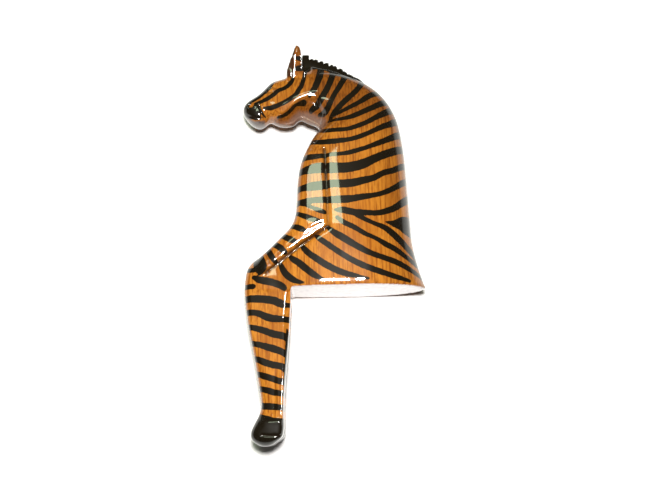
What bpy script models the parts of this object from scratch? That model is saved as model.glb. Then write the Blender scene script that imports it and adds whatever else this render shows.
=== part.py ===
"""Carved wooden zebra made to sit on a shelf edge, lying on its right side.

Metres, +Z up. The figure is carved from one block, so it is one object, "zebra". It is shaped upright
(the nose points along -X, the head along +Z, its left side is -Y) and the empty "lying" then lays it
down: its length runs along +Y, its back faces +X, its left side faces up, and it rests on its right flank.
"""

import math

import bmesh
import bpy
from mathutils import Matrix, Vector

# The whole figure, from the hoof tips to the ear tips. The carving keeps its proportions to it.
FIGURE_HEIGHT = 0.206

# The tables below give pose and carving in shares of that height: 206 shares from hoof to ear.
SHARE = FIGURE_HEIGHT / 206

# Sizes that can be set by themselves
SEAT_CORNER_BACKSET = 0.0016     # from the zero point, at the front of the seat, to the back of the knees
LEG_GAP = 0.0026                 # saw cut between the two hanging legs
REST_FLAT_DEPTH = 0.0005         # how much is planed off the right flank so that the figure lies still
ARM_GROOVE_WIDTH = 0.0024
ARM_GROOVE_DEPTH = 0.0013
MOUTH_GROOVE_WIDTH = 0.0016
MOUTH_GROOVE_DEPTH = 0.0012
MANE_NOTCH_WIDTH = 0.0015
MANE_NOTCH_DEPTH = 0.0016
MANE_NOTCH_COUNT = 9

# How far the plain cutters reach, in shares: past the figure, and below the seat
CUTTER_REACH = 80
SEAT_CUT_DEPTH = 15

# How finely the carving is worked
SECTION_POINTS = 40
STEPS_BETWEEN_STATIONS = 4
CARVING_GRAIN = 0.0008           # voxel that fuses the limbs to the body
SANDING_PASSES = 4               # smoothing after the limbs are fused
SANDING_STRENGTH = 0.5
FACETS_KEPT = 0.058              # share of the fused surface's triangles that the solid keeps

# Stations of the body, from the seat up through the neck and along the head to the nose. Each is the
# front or underside point (x, z), the back or upper point (x, z), the half width, how far from front to
# back the widest line lies, and the squareness of the section before and behind that line: 2 is an
# ellipse, 1 a straight taper.
BODY = (
    ((6.0, -5.0), (66.0, -5.0), 18.2, 0.44, 2.2, 1.9),
    ((6.0, 1.0), (64.7, 1.0), 19.2, 0.44, 2.2, 1.9),
    ((6.0, 6.0), (63.2, 6.0), 19.9, 0.42, 2.2, 1.9),
    ((6.0, 12.0), (61.4, 12.0), 20.2, 0.40, 2.3, 2.0),
    ((6.0, 24.0), (59.0, 24.0), 20.2, 0.36, 2.4, 2.1),
    ((6.0, 40.0), (58.2, 40.0), 20.0, 0.33, 2.5, 2.2),
    ((6.0, 54.0), (57.5, 54.0), 19.8, 0.31, 2.5, 2.2),
    ((4.4, 65.0), (56.9, 67.0), 19.5, 0.33, 2.5, 2.2),
    ((7.8, 74.5), (55.5, 79.0), 18.9, 0.34, 2.3, 2.2),
    ((12.2, 81.0), (53.4, 88.0), 17.5, 0.36, 2.0, 2.5),
    ((14.4, 84.0), (48.4, 97.2), 15.8, 0.37, 1.5, 3.0),
    ((10.6, 86.2), (41.6, 104.0), 14.4, 0.36, 1.25, 3.4),
    ((7.0, 87.8), (32.4, 109.4), 13.3, 0.35, 1.2, 3.6),
    ((4.4, 89.4), (20.8, 113.4), 12.5, 0.34, 1.2, 3.6),
    ((2.8, 88.6), (9.0, 114.4), 11.9, 0.33, 1.25, 3.2),
    ((1.6, 87.2), (0.4, 112.3), 11.3, 0.31, 1.3, 2.7),
    ((0.2, 86.3), (-6.6, 110.6), 10.8, 0.30, 1.4, 2.5),
    ((-4.5, 86.0), (-10.4, 109.3), 10.3, 0.32, 1.6, 2.5),
    ((-8.8, 87.6), (-13.2, 106.5), 9.5, 0.38, 1.9, 2.5),
    ((-11.2, 89.2), (-15.8, 103.8), 8.7, 0.42, 2.0, 2.5),
    ((-13.2, 87.4), (-18.6, 101.6), 8.3, 0.45, 2.2, 2.5),
    ((-16.3, 85.8), (-21.6, 99.9), 8.0, 0.45, 2.4, 2.5),
    ((-19.9, 87.0), (-24.1, 97.7), 7.0, 0.46, 2.4, 2.5),
    ((-22.8, 89.6), (-25.1, 95.4), 5.0, 0.50, 2.2, 2.3),
    ((-24.4, 91.8), (-25.3, 94.0), 2.0, 0.50, 2.0, 2.0),
)

# Stations of a leg, from inside the haunch over the knee to the hoof: the point at the hollow of the
# knee or back (x, z), the point at the top or front (x, z), and the outer and inner faces' distance from
# the middle. An inner face at None follows the saw cut.
LEG = (
    ((30.0, -12.0), (30.0, 30.0), 17.8, -1.0),
    ((18.0, -12.0), (18.0, 30.0), 18.4, -1.0),
    ((7.0, -12.0), (7.0, 26.0), 17.6, -1.0),
    ((-0.5, -9.0), (-8.0, 19.0), 15.6, -1.0),
    ((-1.2, -5.2), (-17.8, 15.6), 15.2, -1.0),
    ((-1.4, -5.4), (-22.8, 10.6), 15.0, -0.5),
    ((-1.5, -5.8), (-24.1, 2.0), 14.8, None),
    ((-1.7, -9.0), (-23.6, -8.0), 14.6, None),
    ((-2.4, -20.0), (-22.0, -20.0), 14.2, None),
    ((-3.6, -34.0), (-19.4, -34.0), 13.6, None),
    ((-4.7, -46.0), (-17.5, -46.0), 13.0, None),
    ((-5.3, -55.0), (-16.3, -55.5), 12.4, None),
    ((-5.4, -60.0), (-17.6, -60.2), 13.2, None),
    ((-5.4, -66.0), (-20.8, -66.4), 14.4, None),
    ((-6.2, -70.0), (-21.4, -69.9), 14.2, None),
    ((-8.6, -72.2), (-19.6, -72.7), 12.6, None),
    ((-11.5, -74.2), (-16.4, -74.6), 10.0, None),
)

# The roundness of a limb's section: how far from its back to its front the widest line lies, and the
# squareness behind and before that line. Both limbs are widest near the back, and slope off forward.
LEG_ROUNDNESS = (0.22, 4.0, 2.7)

# Stations of an arm, from the shoulder down to the elbow and along the thigh to the small black hoof.
ARM = (
    ((20.0, 78.0), (13.0, 78.0), 13.0, 5.0),
    ((17.4, 71.0), (8.0, 71.0), 17.4, 5.0),
    ((16.8, 63.0), (4.4, 63.0), 19.4, 5.0),
    ((17.0, 55.0), (2.8, 55.0), 20.1, 5.0),
    ((17.2, 46.0), (2.1, 46.0), 20.3, 5.0),
    ((17.5, 37.0), (1.6, 38.3), 20.2, 5.0),
    ((17.6, 30.0), (0.2, 32.8), 19.8, 5.0),
    ((13.0, 25.8), (-2.4, 28.6), 19.1, 5.2),
    ((4.5, 20.6), (-6.6, 24.6), 18.3, 5.6),
    ((-2.5, 15.3), (-11.0, 20.2), 17.6, 6.0),
    ((-9.5, 9.9), (-15.0, 16.8), 16.9, 6.0),
    ((-13.5, 6.9), (-17.6, 13.4), 16.2, 6.2),
    ((-16.0, 5.8), (-18.6, 10.4), 14.9, 7.6),
)
ARM_ROUNDNESS = (0.25, 3.4, 2.4)

# Stations of an ear, from its root to its tip: front point, back point, half thickness and distance
# from the middle.
EAR = (
    ((-3.6, 104.0), (7.0, 105.0), 3.4, 6.0),
    ((-2.7, 108.2), (6.4, 109.5), 3.2, 7.0),
    ((-1.4, 114.0), (6.0, 114.6), 2.8, 8.6),
    ((0.0, 119.2), (5.7, 119.6), 2.3, 10.2),
    ((1.4, 123.2), (5.3, 123.6), 1.8, 11.4),
    ((2.2, 126.0), (4.6, 126.0), 1.1, 12.1),
)
EAR_SQUARENESS = 2.2

# The hollow of an ear is an egg: its middle (x, distance from the middle plane, z) and its half sizes
EAR_HOLLOW_MIDDLE = (0.4, 11.4, 114.8)
EAR_HOLLOW_HALVES = (1.9, 2.2, 7.8)
EAR_HOLLOW_LEAN = math.radians(14)

# Stations of the mane's crest, from the forelock to the withers: root point, top point, half thickness.
MANE = (
    ((5.4, 108.0), (5.4, 124.6), 3.0),
    ((9.2, 108.0), (9.2, 124.5), 3.0),
    ((10.6, 107.0), (11.2, 123.4), 3.0),
    ((18.0, 104.0), (20.4, 120.4), 3.0),
    ((24.0, 100.0), (28.2, 116.1), 2.9),
    ((29.0, 96.0), (35.4, 111.4), 2.6),
    ((33.0, 94.0), (40.0, 106.6), 2.0),
)
MANE_SQUARENESS = 3.0
MANE_NOTCH_REACH = 6             # a notch runs right across the crest
NOTCHED_CREST = ((10.4, 123.6), (20.4, 120.0), (28.2, 115.7), (33.6, 112.2))

# Carved lines on both sides: x, z and how far from the middle the surface lies there
ARM_GROOVE = (
    (16.5, 71.0, 20.2),
    (16.6, 66.0, 19.3),
    (16.8, 57.0, 19.7),
    (17.1, 46.0, 19.9),
    (17.3, 36.0, 19.8),
    (17.2, 27.6, 19.8),
)
FOREARM_GROOVE = (
    (17.6, 29.0, 19.7),
    (9.0, 23.7, 18.4),
    (1.6, 18.6, 17.4),
    (-6.2, 12.4, 16.2),
    (-12.9, 7.2, 15.3),
    (-16.8, 5.0, 14.9),
)
MOUTH_LINE = (
    (-25.6, 92.4, 2.0),
    (-23.6, 91.0, 5.4),
    (-20.4, 89.6, 7.2),
    (-17.0, 88.6, 7.8),
    (-13.4, 89.4, 8.4),
)

WOOD_COLOUR = (0.50, 0.21, 0.05, 1.0)
WOOD_ROUGHNESS = 0.25


def between(values, step):
    """The smooth curve through four neighbouring values, a share of step along its middle stretch."""
    before, start, end, after = values
    rise = (end - before) / 2
    fall = (after - start) / 2
    return (
        (2 * step**3 - 3 * step**2 + 1) * start
        + (step**3 - 2 * step**2 + step) * rise
        + (-2 * step**3 + 3 * step**2) * end
        + (step**3 - step**2) * fall
    )


def smooth_stations(rows):
    """The rows of numbers with more rows between them, on a smooth curve through each column."""
    out = []
    last = len(rows) - 1
    for index in range(last):
        near = [rows[min(max(index + shift, 0), last)] for shift in (-1, 0, 1, 2)]
        for part in range(STEPS_BETWEEN_STATIONS):
            step = part / STEPS_BETWEEN_STATIONS
            out.append([between(column, step) for column in zip(*near)])
    out.append(list(rows[last]))
    return out


def power(value, exponent):
    """The value raised with its sign kept, as a superellipse needs it."""
    return math.copysign(abs(value) ** exponent, value)


def section(front, back, middle, half, widest, front_square, back_square):
    """One closed ring in the plane of the line from front to back and the sideways axis."""
    along = back - front
    centre = front + along * widest
    ring = []
    for index in range(SECTION_POINTS):
        turn = math.tau * index / SECTION_POINTS
        ahead = math.cos(turn)
        square = back_square if ahead >= 0 else front_square
        reach = (1 - widest) if ahead >= 0 else widest
        length = power(ahead, 2 / square) * reach
        side = power(math.sin(turn), 2 / square) * half
        ring.append(centre + along * length + Vector((0, middle + side, 0)))
    return ring


def loft(name, rings):
    """A closed mesh through the rings, with a fan of faces over each end."""
    shape = bmesh.new()
    loops = [[shape.verts.new(point * SHARE) for point in ring] for ring in rings]
    for low, high in zip(loops, loops[1:]):
        for index in range(SECTION_POINTS):
            after = (index + 1) % SECTION_POINTS
            shape.faces.new((low[index], low[after], high[after], high[index]))
    for loop in (loops[0], loops[-1]):
        hub = shape.verts.new(sum((vert.co for vert in loop), Vector()) / len(loop))
        for index in range(SECTION_POINTS):
            shape.faces.new((hub, loop[index], loop[(index + 1) % SECTION_POINTS]))
    bmesh.ops.recalc_face_normals(shape, faces=shape.faces)
    mesh = bpy.data.meshes.new(name)
    shape.to_mesh(mesh)
    shape.free()
    return mesh


def flat(point):
    """An (x, z) pair as a point on the middle plane."""
    return Vector((point[0], 0, point[1]))


def body_rings():
    rows = [(*low, *high, half, widest, fore, aft) for low, high, half, widest, fore, aft in BODY]
    return [
        section(flat(row[0:2]), flat(row[2:4]), 0, *row[4:8])
        for row in smooth_stations(rows)
    ]


def limb_rings(stations, roundness, side):
    """A leg or an arm. side is -1 for the left limb and 1 for the right one."""
    saw_cut = LEG_GAP / 2 / SHARE
    rows = []
    for back, front, outer, inner in stations:
        inside = saw_cut if inner is None else inner
        rows.append((*back, *front, outer, inside))
    rings = []
    for row in smooth_stations(rows):
        outer, inner = row[4:6]
        half = (outer - inner) / 2
        middle = side * (outer + inner) / 2
        rings.append(section(flat(row[0:2]), flat(row[2:4]), middle, half, *roundness))
    return rings


def ear_rings(side):
    rows = [(*front, *back, half, away) for front, back, half, away in EAR]
    return [
        section(flat(row[0:2]), flat(row[2:4]), side * row[5], row[4], 0.5, EAR_SQUARENESS, EAR_SQUARENESS)
        for row in smooth_stations(rows)
    ]


def mane_rings():
    rows = [(*root, *top, half) for root, top, half in MANE]
    return [
        section(flat(row[0:2]), flat(row[2:4]), 0, row[4], 0.5, MANE_SQUARENESS, MANE_SQUARENESS)
        for row in smooth_stations(rows)
    ]


def wedge(name, line, width, depth, side):
    """A cutter with a diamond section that carves a V along a line on one side."""
    shape = bmesh.new()
    path = [Vector((x, side * away, z)) * SHARE for x, z, away in smooth_stations(line)]
    outward = Vector((0, side, 0))
    rings = []
    for index, point in enumerate(path):
        ahead = path[min(index + 1, len(path) - 1)] - path[max(index - 1, 0)]
        across = ahead.cross(outward).normalized()
        corners = (across * width / 2, outward * depth, across * -width / 2, outward * -depth)
        rings.append([shape.verts.new(point + corner) for corner in corners])
    for low, high in zip(rings, rings[1:]):
        for index in range(4):
            after = (index + 1) % 4
            shape.faces.new((low[index], low[after], high[after], high[index]))
    shape.faces.new(rings[0])
    shape.faces.new(rings[-1])
    bmesh.ops.recalc_face_normals(shape, faces=shape.faces)
    mesh = bpy.data.meshes.new(name)
    shape.to_mesh(mesh)
    shape.free()
    return mesh


def block(name, low, high):
    """A box cutter between two corners, in metres."""
    shape = bmesh.new()
    bmesh.ops.create_cube(shape, size=1)
    size = Vector(high) - Vector(low)
    place = Matrix.Translation((Vector(high) + Vector(low)) / 2) @ Matrix.Diagonal((*size, 1))
    bmesh.ops.transform(shape, matrix=place, verts=shape.verts)
    mesh = bpy.data.meshes.new(name)
    shape.to_mesh(mesh)
    shape.free()
    return mesh


def egg(name, centre, radii, lean, side):
    """An ellipsoid cutter. Its centre and radii are in shares, and it leans outward by an angle."""
    shape = bmesh.new()
    bmesh.ops.create_icosphere(shape, subdivisions=3, radius=1)
    tilt = Matrix.Rotation(-side * lean, 4, "X")
    scale = Matrix.Diagonal((*(Vector(radii) * SHARE), 1))
    place = Matrix.Translation(Vector((centre[0], side * centre[1], centre[2])) * SHARE)
    bmesh.ops.transform(shape, matrix=place @ tilt @ scale, verts=shape.verts)
    mesh = bpy.data.meshes.new(name)
    shape.to_mesh(mesh)
    shape.free()
    return mesh


def notch(name, centre):
    """A V-shaped cutter across the mane's crest."""
    tip = Vector((centre[0] * SHARE, 0, centre[1] * SHARE))
    open_half = MANE_NOTCH_WIDTH / 2
    rise = MANE_NOTCH_DEPTH
    reach = MANE_NOTCH_REACH * SHARE
    shape = bmesh.new()
    rings = []
    for across in (-reach, reach):
        corners = ((0, -rise), (open_half * 2, rise), (-open_half * 2, rise))
        rings.append([shape.verts.new(tip + Vector((x, across, z))) for x, z in corners])
    for index in range(3):
        after = (index + 1) % 3
        shape.faces.new((rings[0][index], rings[0][after], rings[1][after], rings[1][index]))
    shape.faces.new(rings[0])
    shape.faces.new(rings[1])
    bmesh.ops.recalc_face_normals(shape, faces=shape.faces)
    mesh = bpy.data.meshes.new(name)
    shape.to_mesh(mesh)
    shape.free()
    return mesh


def wood():
    material = bpy.data.materials.new("stained_wood")
    material.use_nodes = True
    shader = material.node_tree.nodes["Principled BSDF"]
    shader.inputs["Base Color"].default_value = WOOD_COLOUR
    shader.inputs["Roughness"].default_value = WOOD_ROUGHNESS
    shader.inputs["Metallic"].default_value = 0.0
    return material


def place(name, mesh, parent):
    made = bpy.data.objects.new(name, mesh)
    bpy.context.scene.collection.objects.link(made)
    made.parent = parent
    return made


def carved_body(parent):
    """All limbs in one mesh, which the voxel grain fuses into one body."""
    meshes = [loft("body", body_rings()), loft("mane", mane_rings())]
    for side in (-1, 1):
        meshes.append(loft("leg", limb_rings(LEG, LEG_ROUNDNESS, side)))
        meshes.append(loft("arm", limb_rings(ARM, ARM_ROUNDNESS, side)))
        meshes.append(loft("ear", ear_rings(side)))
    joined = bmesh.new()
    for mesh in meshes:
        joined.from_mesh(mesh)
        bpy.data.meshes.remove(mesh)
    whole = bpy.data.meshes.new("zebra")
    joined.to_mesh(whole)
    joined.free()
    zebra = place("zebra", whole, parent)
    zebra.data.materials.append(wood())
    fuse = zebra.modifiers.new("fuse", "REMESH")
    fuse.mode = "VOXEL"
    fuse.voxel_size = CARVING_GRAIN
    sand = zebra.modifiers.new("sand", "SMOOTH")
    sand.factor = SANDING_STRENGTH
    sand.iterations = SANDING_PASSES
    facets = zebra.modifiers.new("facets", "DECIMATE")
    facets.ratio = FACETS_KEPT
    return zebra


def cutters():
    """The meshes that are carved away, by name."""
    found = {}
    far = CUTTER_REACH * SHARE
    corner = -SEAT_CORNER_BACKSET
    found["seat_cut"] = block("seat_cut", (corner, -far, -SEAT_CUT_DEPTH * SHARE), (far, far, 0))
    widest = max(row[2] for row in BODY) * SHARE
    flank = widest - REST_FLAT_DEPTH
    found["rest_cut"] = block("rest_cut", (-far, flank, -far), (far, far, 2 * far))
    for side, hand in ((-1, "left"), (1, "right")):
        for label, line in (("arm", ARM_GROOVE), ("forearm", FOREARM_GROOVE)):
            name = f"{hand}_{label}_groove"
            found[name] = wedge(name, line, ARM_GROOVE_WIDTH, ARM_GROOVE_DEPTH, side)
        name = f"{hand}_mouth"
        found[name] = wedge(name, MOUTH_LINE, MOUTH_GROOVE_WIDTH, MOUTH_GROOVE_DEPTH, side)
        name = f"{hand}_ear_hollow"
        found[name] = egg(name, EAR_HOLLOW_MIDDLE, EAR_HOLLOW_HALVES, EAR_HOLLOW_LEAN, side)
    crest = smooth_stations(NOTCHED_CREST)
    for index in range(MANE_NOTCH_COUNT):
        spot = crest[round(index * (len(crest) - 1) / (MANE_NOTCH_COUNT - 1))]
        found[f"notch_{index}"] = notch(f"notch_{index}", spot)
    return found


def main():
    for old in list(bpy.data.objects):
        bpy.data.objects.remove(old)
    lying = bpy.data.objects.new("lying", None)
    bpy.context.scene.collection.objects.link(lying)
    lying.rotation_euler = (math.radians(-90), 0, 0)
    zebra = carved_body(lying)
    for name, mesh in cutters().items():
        tool = place(name, mesh, lying)
        tool.hide_render = True
        tool.display_type = "WIRE"
        cut = zebra.modifiers.new(name, "BOOLEAN")
        cut.operation = "DIFFERENCE"
        cut.solver = "EXACT"
        cut.object = tool
    bpy.context.view_layer.update()
    shaped = zebra.evaluated_get(bpy.context.evaluated_depsgraph_get())
    corners = [shaped.matrix_world @ Vector(corner) for corner in shaped.bound_box]
    low = Vector([min(corner[axis] for corner in corners) for axis in range(3)])
    high = Vector([max(corner[axis] for corner in corners) for axis in range(3)])
    lying.location = (-(low.x + high.x) / 2, -(low.y + high.y) / 2, -low.z)


main()
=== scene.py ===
"""The looks of a carved, painted and varnished wooden zebra that lies on its right side.

The places on the figure are in millimetres on the upright figure: x from the front of the seat towards its
back, z up from the seat, and h out of the middle plane towards the left flank, which faces the camera. Both
flanks are treated alike, so the heights of faces are given as distances from the middle plane.

A span (from, to) is where something fades in or out. The spans and limits whose names end in FRONT or BACK
are along x, those that end in FROM or TO are along z, and the others are distances or as their comments say.
"""

import math

import bmesh
import bpy
import numpy as np
from mathutils import Matrix, Vector


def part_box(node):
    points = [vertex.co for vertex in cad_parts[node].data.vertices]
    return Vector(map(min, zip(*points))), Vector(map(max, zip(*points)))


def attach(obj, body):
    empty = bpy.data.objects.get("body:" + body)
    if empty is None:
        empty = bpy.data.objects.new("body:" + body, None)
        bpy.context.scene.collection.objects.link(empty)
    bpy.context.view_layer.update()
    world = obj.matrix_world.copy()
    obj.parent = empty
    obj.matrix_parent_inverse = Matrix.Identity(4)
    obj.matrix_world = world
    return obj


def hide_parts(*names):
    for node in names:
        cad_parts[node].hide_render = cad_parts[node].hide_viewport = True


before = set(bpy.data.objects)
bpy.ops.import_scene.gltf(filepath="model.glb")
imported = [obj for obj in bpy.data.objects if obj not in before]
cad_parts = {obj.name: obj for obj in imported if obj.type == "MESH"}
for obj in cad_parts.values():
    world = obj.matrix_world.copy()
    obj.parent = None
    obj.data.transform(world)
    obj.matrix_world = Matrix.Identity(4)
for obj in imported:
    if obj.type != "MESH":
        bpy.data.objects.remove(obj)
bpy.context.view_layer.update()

# Where the upright figure's own zero point lies in the frame
MM = 0.001
NOSE_X = -25.15                  # the foremost point
HOOF_Z = -74.51                  # the lowest point
HALF_WIDTH = 20.3                # from the middle plane to the widest point of an arm
low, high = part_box("zebra")
ZERO = Vector((low[0] - NOSE_X * MM, low[1] - HOOF_Z * MM, high[2] - HALF_WIDTH * MM))

# Camera: distances in metres, angles in degrees
PHOTO_WIDTH = 650
LOOKED_AT = (15.58, 24.10, 0.0)  # the point of the figure (x, z, h) in the middle of the picture
CAMERA_DISTANCE = 0.48
CAMERA_TILT = 12.6               # from straight above, towards the hooves
CAMERA_ROLL = 1.2
FOCAL_PIXELS = 960
SENSOR_WIDTH = 36

# Lights: places and sizes in metres, power in watts
KEY_ABOVE_LENS = 0.07            # up the picture from the camera
KEY_SIZE = (0.05, 0.05)
KEY_POWER = 3.8
KEY_COLOUR = (1.0, 0.98, 0.95)
PANEL_PLACE = (-0.17, 0.345)     # in the frame's x and y, and it shines straight down
PANEL_HEIGHT = 1.0
PANEL_SIZE = (0.34, 0.21)
PANEL_POWER = 2.4
PANEL_COLOUR = (0.84, 1.0, 0.7)
SKY_COLOUR = (1.0, 0.95, 0.88, 1.0)
SKY_STRENGTH = 0.05

# The white paper below, in metres
FLOOR_HALF = 3.0
PAPER = (0.93, 0.93, 0.93, 1.0)
PAPER_ROUGHNESS = 0.9

# The fine surface. Each pass draws a point a share of the way to the mean of its neighbours, and every other
# pass of the sanding pushes it back out again.
FINE_GRAIN = 0.78                # voxel, mm
SANDING = (0.5, -0.52)
SANDING_PASSES = 10
POLISHING = 0.5
POLISHING_PASSES = 70
CURVE_STEPS = 4                  # pieces of a smooth line between two of its points
TINY = 1e-9                      # stands in for a length of zero that something is divided by

# Where the polish is held back: spans of distance from the edges that stay crisp, and the shares of it that
# the smaller forms get
KEPT_BY_ARM_GROOVE = (1.0, 4.0)
KEPT_BY_FOREARM_GROOVE = (1.0, 3.5)
KEPT_BY_SEAT_EDGE = (0.8, 4.0)
SEAT_FRONT = -1.6
LEG_POLISH = 0.35
HOOF_POLISH = 0.2
HOOF_TOP = -62                   # z
HEAD_HELD_BACK = (-2.0, 2.0)
HEAD_POLISH_LOST = 0.85
MANE_HELD_BACK = (-2.0, 1.0)
MANE_POLISH_LOST = 0.9
MANE_UNPOLISHED = 2              # how far inside the mane's outline the polish ends
RESTING_SIDE = (2 - HALF_WIDTH, 6 - HALF_WIDTH)  # heights over which it ends above the flank it lies on

# Which faces are carved: spans of how squarely a face looks sideways, and of its distance from the middle
CARVED_TILT = (0.1, 0.6)
CARVED_HEIGHT = (2.5, 4.0)

# Fine carved lines as (x, z)
ARM_GROOVE = ((16.3, 67.5), (16.6, 57), (17, 46), (17.2, 36), (17.2, 28.6))
FOREARM_GROOVE = ((17.2, 28.8), (9, 23.7), (1.6, 18.6), (-6.2, 12.4), (-13.4, 7.2))
MOUTH_LINE = ((-25.4, 92.3), (-23.4, 91), (-20.4, 89.7), (-17, 88.8), (-14.6, 89.4))
MOUTH_CORNER = ((-16.2, 95.2), (-15.9, 93.4), (-15.2, 91.9), (-14.4, 90.4), (-13.4, 89.6))
HOOF_CREASE = ((-15.6, -69.3), (-12.5, -69.7), (-9, -69.8), (-6.6, -69.6))
KNUCKLE = ((-14.2, 18.2), (-12.5, 14.4), (-10.9, 11.0))
UPPER_EYELID = ((-12.8, 101.6), (-11.4, 103.6), (-9.4, 104.4), (-7.6, 103.6))
LOWER_EYELID = ((-12.8, 101.6), (-10.8, 101.7), (-9, 102.2), (-7.6, 103.6))

# Each with its half width, its depth, and how far the painted shade in it spreads as a share of the half
# width
CARVED_LINES = (
    (ARM_GROOVE, 0.6, 0.55, 1.6),
    (FOREARM_GROOVE, 0.55, 0.55, 1.6),
    (MOUTH_LINE, 0.5, 0.45, 0.9),
    (MOUTH_CORNER, 0.45, 0.75, 0.9),
    (HOOF_CREASE, 0.6, 0.6, 0.9),
    (KNUCKLE, 0.4, 0.25, 0.9),
    (UPPER_EYELID, 0.35, 0.35, 0.9),
    (LOWER_EYELID, 0.35, 0.3, 0.9),
)

# The edge in which the cheek ends above the throat, as (x, z), and the step down to the throat
JAW_EDGE = ((-10, 88.9), (-6, 90.4), (-2.5, 92.6), (1, 95.4), (4, 97.4), (8, 98.6), (12, 98.2), (15, 96))
THROAT = (*JAW_EDGE, (18, 90), (16, 84), (10, 80), (-10, 80))
THROAT_STEP_WIDTH = 2.4
THROAT_STEP_DEPTH = 1.5

# The nostril: a long hollow in a low rim
NOSTRIL = (-20.6, 95.4)
NOSTRIL_RADIUS = 1.3
NOSTRIL_LENGTH = 1.25            # how much longer it is than high
NOSTRIL_DEPTH = 0.7
NOSTRIL_STEEPNESS = 2
NOSTRIL_RIM = 0.45               # its height as a share of the depth
NOSTRIL_RIM_AT = (1.2, 0.35)     # where it stands and how wide, in radii

# The corner between a leg's outer face and its back as (x, z), its height as (z, h), and the slopes before
# and behind it
LEG_CORNER = (
    (-3.4, -1), (-3.8, -5.7), (-4.4, -9.9), (-4.9, -14.6), (-5, -24), (-5.2, -34), (-5.6, -44), (-6.1, -52),
    (-6.3, -58), (-6.6, -64),
)
LEG_HEIGHTS = (
    (3, 15.6), (-4, 14.95), (-12, 14.35), (-15, 14.1), (-18, 13.5), (-30, 13.6), (-45, 13.95), (-52, 13.9),
    (-58, 13.95), (-64, 14.2),
)
LEG_SLOPES = (0.13, 0.85)
LEG_FILLED_BEFORE = 3            # the face is filled up this far before the corner, and only cut beyond
LEG_BACK = 2
LEG_FROM = (-66.0, -60.0)
LEG_TO = (-2.5, 0.0)

# How much higher the hoof's brow stands than the solid's, as (z, height)
HOOF_BROW = (
    (-69.2, 0), (-68, -0.12), (-66.5, 0), (-65, 0.29), (-63.5, 0.7), (-62.5, 0.43), (-61.5, 0),
)
HOOF_BROW_FRONT = (-17.0, -14.5)
HOOF_BROW_BACK = (-7.0, -5.5)

# The arm's outer face: its height as (z, h) along a line, and how it falls off forward of the line
ARM_CREST = ((69, 19.1), (66, 19.3), (60, 19.65), (52, 19.85), (44, 19.95), (36, 19.9), (30, 19.7))
ARM_CREST_X = 15.0
ARM_FALL = 0.0155
ARM_FRONT = (6.5, 9.5)
ARM_BACK = (15.2, 16.2)
ARM_FROM = (29.0, 33.0)
ARM_TO = (65.0, 69.0)

# The forearm's outer face above its groove: its height as (x, h) at the groove, its rise away from it, how
# far it stays flat and how it bends over beyond
FOREARM_FOOT = ((0, 17.65), (4, 18.0), (9, 18.45), (14, 18.9), (17, 19.17))
FOREARM_RISE = 0.145
FOREARM_PLANE = 2.0
FOREARM_BEND = 0.012
FOREARM_GROOVE_SIDE = (0.5, 1.2)
FOREARM_FAR_SIDE = (3.0, 4.8)
FOREARM_FRONT = (0.0, 7.0)
FOREARM_BACK = 17
FOREARM_TO = (29.0, 33.0)

# The thigh's outer face below the groove: its height as (x, h) on a level above the seat, and its slope above
# and below that level as (x, slope)
THIGH = (
    (-12, 14.2), (-8, 15.0), (-4, 15.8), (-2, 16.2), (2, 17.0), (6, 17.8), (8, 18.3), (12, 18.72),
    (16, 18.82), (20, 18.9), (24, 18.98), (27, 19.1), (30, 19.3), (34, 19.5),
)
THIGH_LEVEL = 8
THIGH_RISES = ((4, 0.0), (12, 0.03), (18, 0.035), (32, 0.03))
THIGH_FRONT = (-12.0, -3.0)
THIGH_BACK = (32.0, 40.0)
THIGH_TOP = ((17, 26, 39), (23, 8, 32))  # where it passes into the flank, as (x, from z, to z)
THIGH_GROOVE_SIDE = (0.3, 1.2)
THIGH_SINK_WIDTH = 3.0           # beside the groove
THIGH_SINK_DEPTH = 0.9
SEAT_EDGE_CURVE = 3.7            # how high above the seat the face starts to curve in
SEAT_EDGE_BEND = 0.03

# The cheek's flat bevel above the jaw's edge: a place (x, z, h) on it, and its slopes along x and z
JAW_BEVEL = (-5.4, 91.2, 9.3)
JAW_BEVEL_SLOPES = (0.012, 0.31)
JAW_BEVEL_FRONT = (-10.0, -7.0)
JAW_BEVEL_BACK = (12.6, 14.8)
JAW_BEVEL_FROM = 89
JAW_BEVEL_WIDTH = (1.2, 2.4)

# How the cheek falls off forward of a place
CHEEK_FALL_X = 1.0
CHEEK_FALL = 0.07
CHEEK_FALL_FRONT = (-13.0, -6.0)
CHEEK_FALL_FROM = 90
CHEEK_FALL_TO = (98.0, 103.0)

# How much fuller the rounded edge of the head is than the solid's
HEAD = ((-40, 84), (8, 84), (16, 96), (8, 112), (5, 140), (-40, 140))
HEAD_FULLNESS = 0.8
HEAD_ROUNDED = (0.15, 0.5)       # spans of how squarely its faces look sideways
HEAD_FLAT = (0.75, 0.97)
HEAD_INSIDE = (-1.0, 2.0)
HEAD_BACK = (-2.0, 2.0)

# The neck beside the mane: its height as (x, h) at the mane's foot, its rise away from the foot, and the
# height that the mane is cut down to there
NECK_TOP = ((8, 6.6), (12, 7.2), (18, 8.0), (26, 8.7), (34, 9.0))
NECK_RISE = 0.66
NECK_FRONT = (8.6, 11.0)
NECK_BACK = (31.0, 36.0)
NECK_FROM = 95
NECK_WIDTH = 6                   # how far below the mane's foot
MANE_FOOT = 3.0
MANE_FOOT_WIDTH = 4              # how far above its foot
NECK_LEAST_TILT = 0.05           # how squarely a face must look sideways to be changed
NECK_LEAST_HEIGHT = 2            # and how far it must stand off the middle plane

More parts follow.
